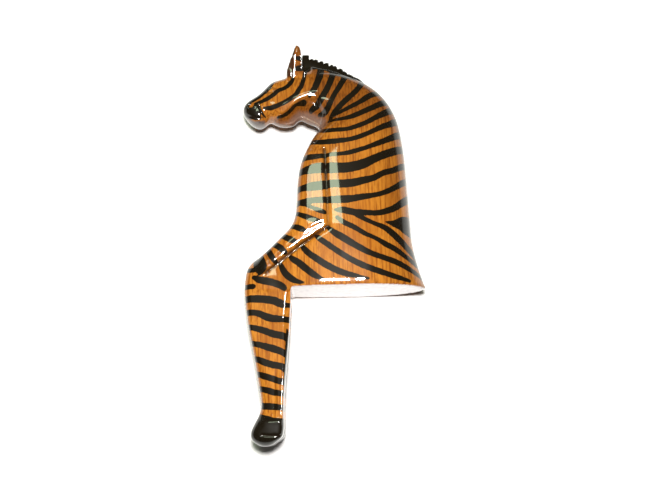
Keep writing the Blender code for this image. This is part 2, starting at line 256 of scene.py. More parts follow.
# The ear's channel: its middle as (x, z), its floor's height as (z, h), and the rim before it
EAR_CHANNEL = ((1.05, 108), (1.1, 112), (1.15, 116), (1.3, 118), (1.6, 120), (2.2, 124))
EAR_CHANNEL_HALF = 1.0
EAR_CHANNEL_FLOOR = ((107, 7.2), (121, 12.1), (123, 13.8), (127, 16.0))
EAR_RIM_HEIGHT = 1.6
EAR_RIM_WIDTH = 1.0
EAR_BACK_FALL = 0.3              # the slope behind the channel
EAR_LIMITS = (-4, 7.2)           # x
EAR_LEAST_HEIGHT = 5
EAR_FROM = (107.5, 110.0)
EAR_FORWARD = 0.7                # how much further forward the front edge stands than the solid's
EAR_FRONT_LIMIT = -6             # x
EAR_FRONT_BACK = (0.0, 1.5)
EAR_FRONT_FROM = (109.0, 113.0)
EAR_FRONT_TO = (118.0, 124.0)

# Notches across the mane's crest as (x, z, depth), and the forelock that stands up before them
CREST_NOTCHES = (
    (10.2, 123.9, 1.7), (12.2, 123.3, 0.7), (14.9, 122.3, 1.3), (17.6, 121.2, 1.1), (20.3, 119.9, 1.4),
    (22.2, 119.1, 0.6), (24.6, 117.8, 0.9), (27.2, 116.2, 0.5), (29.6, 114.8, 0.6), (32.4, 113.0, 0.4),
)
NOTCH_HALF = 0.8
NOTCH_FADE = 3.0                 # how far below the crest a notch ends
CREST_LEAN = Vector((0.42, 0.907))  # out of the crest, along x and z
CREST_HALF_WIDTH = 5
FORELOCK_FRONT = (4.9, 5.3)
FORELOCK_BACK = (9.3, 9.7)
FORELOCK_FROM = (119.0, 124.0)
FORELOCK_HEIGHT = 0.9            # how much higher it stands than the solid's

# Where the mesh is made finer: distances from the lines, and parts of the figure as limits along x and z
FINE_BESIDE_LINE = 0.9
FINE_BESIDE_JAW = 1.6
FINE_BESIDE_LEG_CORNER = 1.3
FINE_BESIDE_MANE_FOOT = 1.6
FINE_BESIDE_CREST = 3.4
FINE_CREST_HALF_WIDTH = 4.5
FINE_FROM_HEIGHT = 2.5
FINE_EAR = ((-5, 7.4), (107, 130))
FINE_EAR_FROM_HEIGHT = 3
FINE_FORELOCK = ((4, 11), (118, math.inf))
FINE_MUZZLE = ((-21, -12), (88, 97.5))

# Painted stripes, one row for each: points along its middle as (x, z, width)
STRIPES = (
    (
        (15.5, 115.5, 3.4), (14.8, 110, 3.6), (14, 107, 3.7), (12.2, 102.5, 3.2), (10.8, 100.3, 3),
        (9.3, 98.5, 2),
    ),
    (
        (21.8, 113, 3.2), (20.6, 107.5, 3.3), (18.7, 102.5, 3.2), (16, 97.5, 3.4), (13.6, 94.4, 3.6),
        (10, 92.3, 2.6),
    ),
    (
        (28.2, 112, 3.2), (27, 107.5, 3.1), (24.5, 102.5, 3), (21.5, 97.5, 2.7), (19, 92.5, 3), (17, 90, 3.4),
        (14, 89.8, 1.6),
    ),
    (
        (36.8, 109, 2.6), (35.9, 105, 3), (33, 100, 3), (28, 95, 3.1), (23, 90, 3), (20.6, 87.5, 2.6),
        (19.3, 84.5, 1.8),
    ),
    ((44.5, 99.6, 3.2), (40, 97.3, 3.3), (35, 93.6, 2.8), (30, 90.7, 2.5), (25, 88.2, 2), (20.5, 86.8, 1.6)),
    (
        (48, 94.6, 3.4), (45, 92.7, 3.4), (40, 89.7, 3), (35, 87.1, 3), (30, 84.9, 2.7), (25, 83.9, 2.2),
        (19, 84.2, 2),
    ),
    (
        (52, 91.5, 3.4), (47.5, 88.2, 3.4), (42.5, 84.9, 2.8), (37.5, 81.7, 2.5), (32.5, 79.5, 2.5),
        (27.5, 77.9, 2.3), (20, 77.7, 2.5), (16, 78.4, 2.6), (14.5, 79.3, 2.2), (13.2, 81, 1.4),
    ),
    (
        (54, 86, 3.2), (50, 82.6, 3.2), (45, 79.9, 2.8), (40, 77, 2.5), (35, 74.5, 2.5), (30, 72.7, 2.5),
        (25, 71.9, 2.7), (20, 71.5, 3), (15, 71.6, 2.8), (12, 72.2, 3), (9, 73.2, 3.2), (6, 74.6, 3),
    ),
    (
        (57, 80, 3.4), (52.5, 76.7, 3.3), (47.5, 73.5, 3), (42.5, 70.9, 2.7), (37.5, 68.6, 2.3),
        (30, 66, 2.5), (25, 65, 2.1), (20, 64.7, 2.2), (15, 64, 2.5), (10, 63.7, 3), (2, 63.2, 3.2),
    ),
    (
        (58, 72, 3.7), (55, 70.1, 3.7), (50, 67.5, 4), (45, 65, 4), (40, 62.4, 4.2), (35, 59.8, 5),
        (30, 58.3, 5.2), (25, 57.7, 5.3), (15, 57.8, 5.5), (10, 57.4, 4.8), (5, 56.5, 3.6), (1, 56.2, 3.2),
    ),
    (
        (58, 63, 3), (55, 61, 3), (50, 57.8, 3), (45, 55.8, 3), (40, 52.8, 3.2), (35, 51.4, 3.8),
        (30, 50.1, 4.2), (25, 49.6, 4.2), (20, 49.8, 4), (15, 49, 4.6), (10, 48.5, 4.4), (5, 47.9, 3.3),
        (0, 47.3, 3),
    ),
    (
        (59, 55, 3), (55, 52.4, 3), (50, 48.5, 2.8), (45, 45.7, 2.6), (40, 44, 2.6), (35, 43.1, 3.2),
        (30, 42.2, 3.5), (25, 41.7, 4), (15, 41.6, 3.3), (10, 41.5, 3), (5, 41, 3), (0, 40.6, 3),
    ),
    ((4, 40.4, 2), (7, 39.2, 1.8), (10, 37.9, 1.9), (12.5, 36.7, 2.4), (15.5, 35.5, 2.4)),
    (
        (59, 46, 3.4), (55, 42.5, 3.4), (50, 38.4, 3.2), (45, 36, 3), (40, 34.9, 2.8), (35, 35.1, 2.8),
        (30, 35.2, 3.4), (25, 36.3, 3.4), (22.5, 36.4, 2.6), (20.8, 36.6, 1.4),
    ),
    (
        (27, 36, 2), (30, 34.9, 3), (35, 31.8, 2.4), (40, 29.6, 2.2), (45, 27.7, 3), (50, 24.1, 3.6),
        (55, 19.5, 3.4), (60, 14.8, 3), (63, 12, 2.6),
    ),
    ((45.4, 30.9, 0.8), (48, 30.4, 2.4), (51, 30.3, 4.6), (54, 30.6, 7.4), (57, 30.2, 10), (61, 29.5, 11)),
    (
        (21.5, 32.9, 1.8), (25, 30.1, 2.6), (30, 27.6, 2.6), (35, 24.5, 2.4), (40, 22.4, 2.2), (45, 19.6, 3),
        (50, 17.2, 2.9), (55, 14, 2.5), (60, 11, 2.4), (64, 8.6, 2.2),
    ),
    (
        (17.2, 28, 2), (20, 25.5, 3), (25, 22.2, 3.6), (30, 19, 3.2), (35, 16.1, 3), (40, 14, 2.8),
        (45, 12.5, 2.8), (50, 10.9, 3), (55, 8.7, 2.8), (60, 6.2, 2.4), (64, 4, 2),
    ),
    (
        (11.5, 24.2, 2), (12.5, 23, 2.6), (15, 21.1, 2.9), (20, 17.4, 2.9), (25, 13.9, 2.9), (30, 10.9, 3),
        (35, 8.4, 3), (40, 6.6, 3), (45, 5, 2.8), (50, 3.6, 2.6), (56, 2.2, 1.8),
    ),
    (
        (4.6, 19.6, 2), (5.4, 18.2, 2.8), (7.5, 15.9, 3), (10, 13.9, 3.2), (15, 10.4, 3.4), (20, 7.5, 3.3),
        (25, 5.4, 3), (30, 4.1, 2.2), (36, 2.6, 1.2),
    ),
    (
        (-1.2, 14.4, 2.2), (0, 13.3, 3), (2.5, 11.6, 3.4), (5, 9.4, 3.4), (7.5, 7.2, 3.3), (10, 5.2, 3.2),
        (13, 3.4, 2), (16, 2.2, 1),
    ),
    (
        (-6.2, 11.5, 2), (-5.5, 9.8, 2.8), (-4.2, 7.2, 3.2), (-2.3, 5, 3.4), (0, 3.3, 3), (2.5, 2.2, 2.2),
        (5, 1.6, 1.2),
    ),
    ((-22.5, 9.4, 2.2), (-20.5, 9, 2.4), (-18.7, 8.8, 2.2)),
    (
        (-19, 5.3, 2.2), (-16.5, 4, 3.4), (-13, 3.2, 3.7), (-9.8, 2.4, 3.5), (-6.2, 0.9, 3.5),
        (-4.4, -0.6, 2.8),
    ),
    ((-26, 0.8, 2.4), (-22, 0.9, 2.6), (-19.4, 0.9, 2.6)),
    (
        (-26, -5.3, 3), (-19.8, -5, 3.6), (-14.4, -5.4, 3.7), (-9.8, -6.2, 3.9), (-7.5, -7.2, 4),
        (-5.3, -8.2, 3.7), (-3.5, -8.6, 2.4), (0, -8.5, 2.2),
    ),
    (
        (-26, -11.8, 3), (-19.8, -11.6, 3), (-16.6, -12.3, 3.3), (-13, -14, 3.6), (-9.8, -14.8, 3.6),
        (-5.3, -15.3, 3), (0, -15.7, 3),
    ),
    (
        (-25, -18.4, 2.8), (-20, -18.8, 2.8), (-15, -20.2, 3.3), (-10, -22.1, 3.5), (-5, -23.4, 3.6),
        (0, -26, 3.8),
    ),
    (
        (-24, -25.6, 2.4), (-17.5, -26.9, 2.8), (-15, -27.6, 3.1), (-10, -29.2, 3.6), (-5.5, -31, 3.2),
        (-1, -34, 4),
    ),
    (
        (-22, -33.2, 2.2), (-17.5, -34, 2.8), (-15, -35.2, 3.3), (-10, -36.9, 3.3), (-6, -37.8, 3.4),
        (-2, -40.4, 4.5),
    ),
    (
        (-21, -40, 2.2), (-16.5, -41.2, 2.6), (-15, -41.8, 3), (-10, -43.5, 3.1), (-7, -44.6, 3.1),
        (-3, -45.4, 3.4),
    ),
    (
        (-20, -47, 2.2), (-15.5, -48.1, 2.7), (-13, -48.7, 3), (-10, -49.7, 3), (-6.5, -50.3, 2.8),
        (-3, -50.6, 2.6),
    ),
    ((-19, -55.6, 3), (-15, -55.9, 3.2), (-10, -56.4, 3.2), (-6.5, -56.9, 2.8), (-3, -57, 2.6)),
    ((2, 35.8, 2), (4, 34.8, 2.4), (6.5, 33.6, 2.8), (10, 32.2, 2.8), (13.5, 30.8, 2)),
    ((-2.5, 30.6, 2.2), (-0.5, 29.6, 2.2), (2, 28.7, 3), (4.5, 27.6, 2.8), (6.5, 26.8, 1.6)),
    ((-7.5, 26.8, 2), (-5, 25.1, 2.8), (-1.4, 22.9, 3.2), (1.6, 21.5, 2.4)),
    ((-11, 23.2, 2), (-9, 21, 3), (-6.2, 19, 3.2), (-3.9, 16.8, 2.8)),
    ((-13.6, 20.2, 2), (-12.1, 18.1, 2.8), (-10.4, 15.1, 3), (-8.5, 12.2, 2.4)),
    (
        (-24.2, 95, 3), (-21.9, 97.5, 3.6), (-19.6, 99.1, 3.8), (-17.2, 100.5, 4), (-14.3, 102.7, 4),
        (-12.2, 104.6, 3.8), (-10.7, 106.7, 3.4), (-9, 109, 2.8), (-6, 110.6, 1.4),
    ),
    (
        (-18.4, 96.2, 1.4), (-15.3, 97, 2), (-11.8, 98.5, 2.4), (-8.8, 100.5, 2.4), (-6.5, 102.4, 2.4),
        (-3.4, 103.5, 2.4), (-1.1, 105.1, 2.4), (0.5, 107.4, 2.4), (1, 109, 2),
    ),
    (
        (-13.8, 93.5, 1.6), (-9.9, 93.5, 2.4), (-6.5, 94.5, 2.6), (-3.4, 95.7, 2.6), (-0.3, 97.4, 2.6),
        (2.4, 99.3, 2.6), (3.9, 101.6, 2.6), (5.5, 104.3, 2.4), (6.4, 108, 2.4), (7.6, 114, 2.2),
    ),
    (
        (-7.2, 89.1, 0.8), (-4.2, 89.7, 1.3), (-1.5, 91.2, 1.4), (0.8, 93.2, 1.4), (2.8, 94.7, 1.4),
        (6.5, 95.7, 2.6),
    ),
    ((-3.4, -20, 0.8), (-3, -26, 2.6), (-3.2, -36, 3), (-3.9, -44, 2.6), (-4.4, -50, 1.2)),
    ((-16.2, 95.2, 0.6), (-15.9, 93.4, 1), (-15.2, 91.9, 1.1), (-14.4, 90.4, 1), (-13.4, 89.6, 0.5)),
    ((2.6, 119.2, 1.6), (4, 119, 2.2), (7, 118.8, 2.4)),
    ((2.6, 114, 2), (4, 114.3, 2.8), (7, 114.8, 2.8)),
    (
        (8.5, 115.4, 1.6), (11, 114.8, 2), (14.3, 115.2, 2.2), (18.1, 113.9, 2.2), (20.6, 112.4, 2.4),
        (23, 110.8, 2.6), (28, 109.2, 2.4), (33, 107.8, 2),
    ),
)

# Areas that are black all over, as outlines of (x, z)
MUZZLE = (
    (-28, 100), (-23, 99.6), (-22.2, 96), (-21.2, 94.4), (-19.8, 94.4), (-19, 96), (-17, 96.2), (-16.2, 94),
    (-15.6, 91.8), (-15.6, 88.2), (-18.4, 87.9), (-21.5, 89), (-24.6, 91), (-28, 92.4),
)
MANE = (
    (5.6, 130), (5.4, 115.6), (8, 116), (10.2, 116.3), (14.4, 114.8), (19.5, 113.4), (23.4, 112), (28, 109.6),
    (33, 108.0), (38, 105), (44, 101), (50, 110), (40, 130),
)
MANE_FOOT_LINE = MANE[1:9]
HAND = (
    (-14.6, 18.6), (-16, 18.6), (-19.6, 16.4), (-19.4, 11.4), (-18, 7.6), (-16.4, 6), (-14.8, 6.6),
    (-12.9, 8.6), (-12.4, 10.6), (-13.2, 13), (-14.6, 16.2),
)
HOOF = (
    (-30, -58.4), (-16.4, -59.6), (-14, -60.2), (-10, -61.4), (-6, -61.8), (0, -61.8), (0, -90), (-30, -90),
)
PAINT_LIMIT = 9.0                # the stored depth of the paint stays within this
STRIPE_MARGIN = 3                # beyond a stripe's own width, where its depth is worked out

# Areas with a painted reflection of the white floor on faces that look down, paler than the wood, and the
# spans over which they fade in from their outlines
PAINTED_THROAT_REFLECTION = (
    (3.5, 92.6), (8, 92.4), (11.5, 90.8), (16, 88.4), (18, 86), (15, 82), (8, 84), (1, 86), (-12, 84),
    (-12, 86.6), (-2, 88),
)
PAINTED_THROAT_REFLECTION_EDGE = (-0.8, 1.6)
PAINTED_LIP_REFLECTION = (
    (-28, 92.4), (-24, 91), (-21, 89), (-18.6, 87.9), (-16, 87.9), (-13.6, 88.2), (-13, 80), (-28, 80),
)
PAINTED_LIP_REFLECTION_EDGE = (-0.3, 0.8)

# The seat's underside is bare wood: faces that look down, close to the seat's level and behind its front
BARE_TILT = -0.8
BARE_LEVEL = 1.0
BARE_FRONT = -1.0

# Painted shade in the carved lines
GROOVE_SHADE_FOR_DEPTH = 2               # a line half a millimetre deep is fully dark
GROOVE_SHADE_FROM_HEIGHT = 3
ARM_GROOVE_SHADE_BELOW = 0.45            # the share that is left low in the arm's groove
ARM_GROOVE_SHADE_RISE = (46, 54)         # z

# The stain is darker on the neck, along the back, on the upper body and on the ear, and painted shade darkens
# the
# throat under the jaw: strengths, and spans along x, along z or with the distance inside an outline
NECK_STAIN = 0.85
NECK_STAIN_X = (3, 16)
NECK_STAIN_Z = (72, 96)
BACK_STAIN = 0.3
BACK_STAIN_X = (34, 56)
BODY_STAIN = 0.25
BODY_STAIN_Z = (30, 60)
# painted shade on the throat under the jaw
THROAT_SHADE = 1.1
THROAT_SHADE_EDGE = (-0.5, 1.5)
EAR_STAIN = 1.0
EAR_STAIN_Z = (109, 113)
EAR_STAIN_BACK = 7.2
RIM_STAIN = 2.1
RIM_STAIN_Z = (108.5, 110.5)
RIM_STAIN_FRONT = -5
RIM_BEHIND_CHANNEL = 0.3

# Colours
PALE_WOOD = (0.5, 0.185, 0.018, 1.0)
DEEP_WOOD = (0.2, 0.048, 0.003, 1.0)
FLECKED_WOOD = (0.3, 0.08, 0.005, 1.0)
CLOUDED_WOOD = (0.28, 0.078, 0.005, 1.0)
# the stained colour, which also carries the painted shade on the throat
STAIN_AND_SHADE_WOOD = (0.22, 0.066, 0.006, 1.0)
STAIN_AND_SHADE_DEEP = (0.1, 0.026, 0.002, 1.0)
EAR_RIM_BROWN = (0.03, 0.012, 0.006, 1.0)
BLACK = (0.007, 0.0045, 0.0015, 1.0)
# painted reflection of the white floor on the throat and the lip's underside
THROAT_REFLECTION_GREY = (0.22, 0.16, 0.14, 1.0)
LIP_REFLECTION_GREY = (0.09, 0.092, 0.098, 1.0)
BARE_WOOD = (0.82, 0.79, 0.81, 1.0)
BARE_SHADE = (0.68, 0.63, 0.68, 1.0)
# painted shade in the carved lines
GROOVE_SHADE_BROWN = (0.012, 0.006, 0.003, 1.0)

# Sizes of the wood's patterns along the frame's axes, in millimetres
STREAKS = (0.9, 17.0, 0.9)
FLECKS = (1.1, 2.2, 1.1)
CLOUDS = (16.0, 30.0, 16.0)
BRUSH_WOBBLE = (1.6, 1.6, 1.6)
LINT = (2.4, 2.4, 2.4)

# How strongly each shows: from and to a value of the pattern, and its share at the upper one
STREAKS_SHOW = (0.41, 0.68, 0.92)
FLECKS_SHOW = (0.45, 0.75, 0.45)
CLOUDS_SHOW = (0.38, 0.7, 0.65)
STAIN_AND_SHADE_STREAKS_SHOW = (0.4, 0.7, 1.0)
LINT_SHOWS = (0.4, 0.75, 1.0)
PAINT_EDGE = (-0.14, 0.14, 1.0)
NOISE_MIDDLE = 0.5
WOBBLE_DEPTH = 0.5               # how much the brush wobbles the paint's edge, mm
RIM_STAIN_OVER = 1.2             # the stain beyond which the ear's rim turns dark
# how strongly the painted reflection shows on the throat and the lip
THROAT_REFLECTION_SHARE = 0.6
LIP_REFLECTION_SHARE = 0.85
GROOVE_SHADE_SHARE = 0.85

# Where the mix node keeps its colours among its sockets
MIX_FIRST = 6
MIX_SECOND = 7
MIX_RESULT = 2

# The varnish over the paint
WOOD_ROUGHNESS = 0.45
WOOD_SHINE = 0.08
COAT_WEIGHT = 1.0
COAT_ROUGHNESS = 0.06


def paved(points):
    """Points along the smooth (Catmull-Rom) curve through the rows of numbers."""
    rows = np.array(points, dtype=float)
    if len(rows) < 3:
        return rows
    padded = np.vstack([2 * rows[0] - rows[1], rows, 2 * rows[-1] - rows[-2]])
    out = []
    for index in range(1, len(padded) - 2):
        before, start, end, after = padded[index - 1:index + 3]
        for part in range(CURVE_STEPS):
            step = part / CURVE_STEPS
            out.append(
                start
                + 0.5 * step * (end - before)
                + step**2 * (before - 2.5 * start + 2 * end - 0.5 * after)
                + 0.5 * step**3 * (3 * (start - end) + after - before)
            )
    out.append(rows[-1])
    return np.array(out)


def inside_line(flat, line):
    """How deep each place (x, z) lies inside a band along the line (x, z, width), below 0 outside."""
    depth = np.full(len(flat), -np.inf)
    for start, end in zip(line, line[1:]):
        along = end[:2] - start[:2]
        length = max(along @ along, TINY)
        share = np.clip(((flat - start[:2]) @ along) / length, 0, 1)
        away = np.linalg.norm(flat - start[:2] - share[:, None] * along, axis=1)
        half = (start[2] + share * (end[2] - start[2])) / 2
        depth = np.maximum(depth, half - away)
    return depth


def away_from(flat, line):
    """How far each place (x, z) lies from the smooth line."""
    return -inside_line(flat, paved([(x, z, 0) for x, z in line]))


def inside_area(flat, outline):
    """How deep each place (x, z) lies inside the closed outline, below 0 outside."""
    corners = np.array(outline, dtype=float)
    nearest = np.full(len(flat), np.inf)
    crossed = np.zeros(len(flat), dtype=bool)
    for start, end in zip(corners, np.roll(corners, -1, axis=0)):
        along = end - start
        share = np.clip(((flat - start) @ along) / max(along @ along, TINY), 0, 1)
        away = np.linalg.norm(flat - start - share[:, None] * along, axis=1)
        nearest = np.minimum(nearest, away)
        rises = (start[1] > flat[:, 1]) != (end[1] > flat[:, 1])
        height = np.where(end[1] == start[1], TINY, end[1] - start[1])
        meets = start[0] + (flat[:, 1] - start[1]) / height * along[0]
        crossed ^= rises & (flat[:, 0] < meets)
    return np.where(crossed, nearest, -nearest)


def between(values, limits):
    """Which values lie between the two limits."""
    return (values > limits[0]) & (values < limits[1])


def rising(values, span):
    """0 up to the span, 1 beyond it, and a smooth rise between."""
    start, end = span
    share = np.clip((values - start) / (end - start), 0, 1)
    return share * share * (3 - 2 * share)


def falling(values, span):
    """1 up to the span, 0 beyond it, and a smooth fall between."""
    start, end = span
    return rising(-values, (-end, -start))


def curve(rows, where, given=0, read=1):
    """Reads one column of the rows at a value of another column."""
    ordered = sorted(rows, key=lambda row: row[given])
    return np.interp(where, [row[given] for row in ordered], [row[read] for row in ordered])


def fine_copy(name):
    """A fine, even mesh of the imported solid."""
    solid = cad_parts["zebra"]
    source = bpy.data.objects.new("source", solid.data.copy())
    bpy.context.scene.collection.objects.link(source)
    grain = source.modifiers.new("grain", "REMESH")
    grain.mode = "VOXEL"
    grain.voxel_size = FINE_GRAIN * MM
    grain.use_smooth_shade = True
    shaped = source.evaluated_get(bpy.context.evaluated_depsgraph_get())
    mesh = bpy.data.meshes.new_from_object(shaped)
    mesh.name = name
    mesh.materials.clear()
    bpy.data.objects.remove(source)
    piece = bpy.data.objects.new(name, mesh)
    bpy.context.scene.collection.objects.link(piece)
    return piece


def read_points(mesh, what):
    """Three numbers for each of the mesh's points: its place (co) or its direction (normal)."""
    numbers = np.empty(len(mesh.vertices) * 3)
    mesh.vertices.foreach_get(what, numbers)
    return numbers.reshape(-1, 3)


def figure_places(mesh):
    """The mesh's points as places (x, z, h) on the upright figure, in millimetres."""
    return (read_points(mesh, "co") - np.array(ZERO)) / MM


def reshape(mesh, points):
    """Puts the mesh's points at new places of the frame."""
    mesh.vertices.foreach_set("co", points.ravel())
    mesh.update()


def evened(mesh, points, strengths):
    """The points drawn towards their neighbours, once for each strength (one number or one a point)."""
    ends = np.empty(len(mesh.edges) * 2, dtype=np.int64)
    mesh.edges.foreach_get("vertices", ends)
    one = ends[0::2]
    two = ends[1::2]
    total = len(points)
    share = np.bincount(ends, minlength=total)[:, None]
    points = points.copy()
    for strength in strengths:
        mean = np.empty_like(points)
        for axis in range(3):
            value = points[:, axis]
            mean[:, axis] = np.bincount(one, value[two], total) + np.bincount(two, value[one], total)
        points += strength * (mean / share - points)
    return points


def sand(mesh):
    """Takes the voxel steps off without shrinking the figure."""
    reshape(mesh, evened(mesh, read_points(mesh, "co"), SANDING * SANDING_PASSES))


def polish(mesh):
    """Smooths the wide faces as one sweep, and keeps the carved edges as they are."""
    places = figure_places(mesh)
    flat = places[:, :2]
    x, z, h = places.T
    weight = rising(away_from(flat, ARM_GROOVE), KEPT_BY_ARM_GROOVE)
    weight *= rising(away_from(flat, FOREARM_GROOVE), KEPT_BY_FOREARM_GROOVE)
    weight *= np.where(x > SEAT_FRONT, rising(np.abs(z), KEPT_BY_SEAT_EDGE), 1.0)
    weight *= np.where(z < 0, LEG_POLISH, 1.0)
    weight *= np.where(z < HOOF_TOP, HOOF_POLISH, 1.0)
    weight *= 1 - HEAD_POLISH_LOST * rising(inside_area(flat, HEAD), HEAD_HELD_BACK)
    in_mane = inside_area(flat, MANE)
    weight *= 1 - MANE_POLISH_LOST * rising(in_mane, MANE_HELD_BACK)
    weight *= np.where(in_mane > MANE_UNPOLISHED, 0.0, 1.0)
    weight *= rising(h, RESTING_SIDE)
    weight = POLISHING * weight[:, None]
    once = evened(mesh, read_points(mesh, "co"), [weight] * POLISHING_PASSES)
    twice = evened(mesh, once, [weight] * POLISHING_PASSES)
    reshape(mesh, 2 * once - twice)


def finely_carved(mesh):
    """Which of the mesh's points carry carving that needs a finer mesh."""
    places = figure_places(mesh)
    flat = places[:, :2]
    x, z, h = places.T
    out = np.abs(h)
    found = away_from(flat, JAW_EDGE) < FINE_BESIDE_JAW
    for line, half, _, _ in CARVED_LINES:
        found |= away_from(flat, line) < half + FINE_BESIDE_LINE
    found |= away_from(flat, LEG_CORNER) < FINE_BESIDE_LEG_CORNER
    found |= away_from(flat, MANE_FOOT_LINE) < FINE_BESIDE_MANE_FOOT
    found &= out > FINE_FROM_HEIGHT
    in_x, in_z = FINE_EAR
    found |= between(x, in_x) & between(z, in_z) & (out > FINE_EAR_FROM_HEIGHT)
    on_crest = away_from(flat, [row[:2] for row in CREST_NOTCHES]) < FINE_BESIDE_CREST
    in_x, in_z = FINE_FORELOCK
    on_forelock = between(x, in_x) & between(z, in_z)
    found |= (on_crest | on_forelock) & (out < FINE_CREST_HALF_WIDTH)
    in_x, in_z = FINE_MUZZLE
    found |= between(x, in_x) & between(z, in_z)
    return found


def refine(mesh, chosen):
    """Halves the edges between the chosen points."""
    shape = bmesh.new()
    shape.from_mesh(mesh)
    shape.verts.ensure_lookup_table()
    edges = [edge for edge in shape.edges if chosen[edge.verts[0].index] and chosen[edge.verts[1].index]]
    bmesh.ops.subdivide_edges(shape, edges=edges, cuts=1, use_grid_fill=True)
    shape.to_mesh(mesh)
    shape.free()
    mesh.update()


def carved_lines(flat):
    """How deep the fine lines are cut at each place (x, z)."""
    deep = np.zeros(len(flat))
    for line, half, depth, _ in CARVED_LINES:
        deep += depth * np.exp(-(away_from(flat, line) / half) ** 2)
    return deep


def throat_step(flat, in_throat):
    """How deep the throat is cut below the jaw's edge."""
    away = np.minimum(in_throat, away_from(flat, JAW_EDGE)) * (in_throat > 0)
    return THROAT_STEP_DEPTH * rising(away, (0.0, THROAT_STEP_WIDTH))


def nostril(x, z):
    """How deep the nostril is cut, with its rim standing up."""
    middle_x, middle_z = NOSTRIL
    ring = np.hypot((x - middle_x) / NOSTRIL_LENGTH, z - middle_z) / NOSTRIL_RADIUS
    rim_at, rim_width = NOSTRIL_RIM_AT
    rim = NOSTRIL_RIM * np.exp(-((ring - rim_at) / rim_width) ** 2)
    return NOSTRIL_DEPTH * (np.exp(-NOSTRIL_STEEPNESS * ring ** 2) - rim)


def leg_corner(x, z, out):
    """How much comes off a leg's outer face and back to meet in a corner."""
    past = x - curve(LEG_CORNER, z, 1, 0)
    before, behind = LEG_SLOPES
    wanted = curve(LEG_HEIGHTS, z) + before * np.minimum(past, 0) - behind * np.maximum(past, 0)
    change = out - wanted
    on_leg = falling(z, LEG_TO) * rising(z, LEG_FROM) * (x < LEG_BACK)
    return np.where(past > -LEG_FILLED_BEFORE, change, np.maximum(change, 0)) * on_leg


def hoof_brow(x, z):
    """How much the hoof's brow stands up."""
    return curve(HOOF_BROW, z) * (rising(x, HOOF_BROW_FRONT) * falling(x, HOOF_BROW_BACK))


def arm_face(x, z, out):
    """How much comes off the arm's outer face."""
    wanted = curve(ARM_CREST, z) - ARM_FALL * (ARM_CREST_X - x) ** 2
    on_arm = rising(z, ARM_FROM) * falling(z, ARM_TO) * falling(x, ARM_BACK) * rising(x, ARM_FRONT)
    return (out - wanted) * on_arm


def forearm_face(x, z, out, away):
    """How much comes off the forearm's outer face, which rises away from its groove."""
    wanted = curve(FOREARM_FOOT, x) + FOREARM_RISE * away
    wanted -= FOREARM_BEND * np.maximum(away - FOREARM_PLANE, 0) ** 2
    on_forearm = (z > curve(FOREARM_GROOVE, x)) * rising(away, FOREARM_GROOVE_SIDE)
    on_forearm *= falling(away, FOREARM_FAR_SIDE)
    on_forearm *= rising(x, FOREARM_FRONT) * falling(z, FOREARM_TO) * (x < FOREARM_BACK)
    return (out - wanted) * on_forearm


def thigh_face(x, z, out, away):
    """How much comes off the thigh's outer face, from the groove down to the seat's edge."""
    wanted = curve(THIGH, x) + curve(THIGH_RISES, x) * (z - THIGH_LEVEL)
    curved_in = SEAT_EDGE_BEND * np.maximum(SEAT_EDGE_CURVE - z, 0) ** 2
    sunk = THIGH_SINK_DEPTH * np.maximum(1 - away / THIGH_SINK_WIDTH, 0) ** 2
    wanted -= curved_in + sunk
    on_thigh = between(z, (0, curve(FOREARM_GROOVE, x))) * rising(x, THIGH_FRONT) * falling(x, THIGH_BACK)
    start = curve(THIGH_TOP, x, 0, 1)
    end = curve(THIGH_TOP, x, 0, 2)
    on_thigh *= 1 - rising((z - start) / (end - start), (0.0, 1.0))
    on_thigh *= rising(away, THIGH_GROOVE_SIDE)
    return (out - wanted) * on_thigh


def jaw_bevel(flat, out, in_throat):
    """How much comes off the cheek for the flat bevel above the jaw's edge."""
    x, z = flat.T
    from_x, from_z, from_h = JAW_BEVEL
    slope_x, slope_z = JAW_BEVEL_SLOPES
    wanted = from_h + slope_x * (x - from_x) + slope_z * (z - from_z)
    on_cheek = rising(x, JAW_BEVEL_FRONT) * falling(x, JAW_BEVEL_BACK) * (z > JAW_BEVEL_FROM)
    on_cheek *= falling(away_from(flat, JAW_EDGE) * (in_throat <= 0), JAW_BEVEL_WIDTH)
    return np.maximum(out - wanted, 0) * on_cheek


def cheek_fall(x, z):
    """How much comes off the cheek towards the muzzle."""
    fall = CHEEK_FALL * np.maximum(CHEEK_FALL_X - x, 0)
    return fall * rising(x, CHEEK_FALL_FRONT) * falling(z, CHEEK_FALL_TO) * (z > CHEEK_FALL_FROM)


def ear_channel(x, z, out):
    """How much comes off the ear for its channel, the rim before it and the slope behind it."""
    past = x - curve(EAR_CHANNEL, z, 1, 0)
    rim = EAR_RIM_HEIGHT * rising(-past, (EAR_CHANNEL_HALF, EAR_CHANNEL_HALF + EAR_RIM_WIDTH))
    wanted = curve(EAR_CHANNEL_FLOOR, z) + rim
    wanted -= EAR_BACK_FALL * np.maximum(past - EAR_CHANNEL_HALF, 0)
    on_ear = rising(z, EAR_FROM) * between(x, EAR_LIMITS) * (out > EAR_LEAST_HEIGHT)
    return np.maximum(out - wanted, 0) * on_ear


def head_edge(x, flat, tilt, upward):
    """How much comes off the rounded upper edge of the head, below 0 because it is made fuller."""
    rounded = rising(tilt, HEAD_ROUNDED) * (1 - rising(tilt, HEAD_FLAT)) * (upward > 0)
    return -HEAD_FULLNESS * rounded * rising(inside_area(flat, HEAD), HEAD_INSIDE) * falling(x, HEAD_BACK)


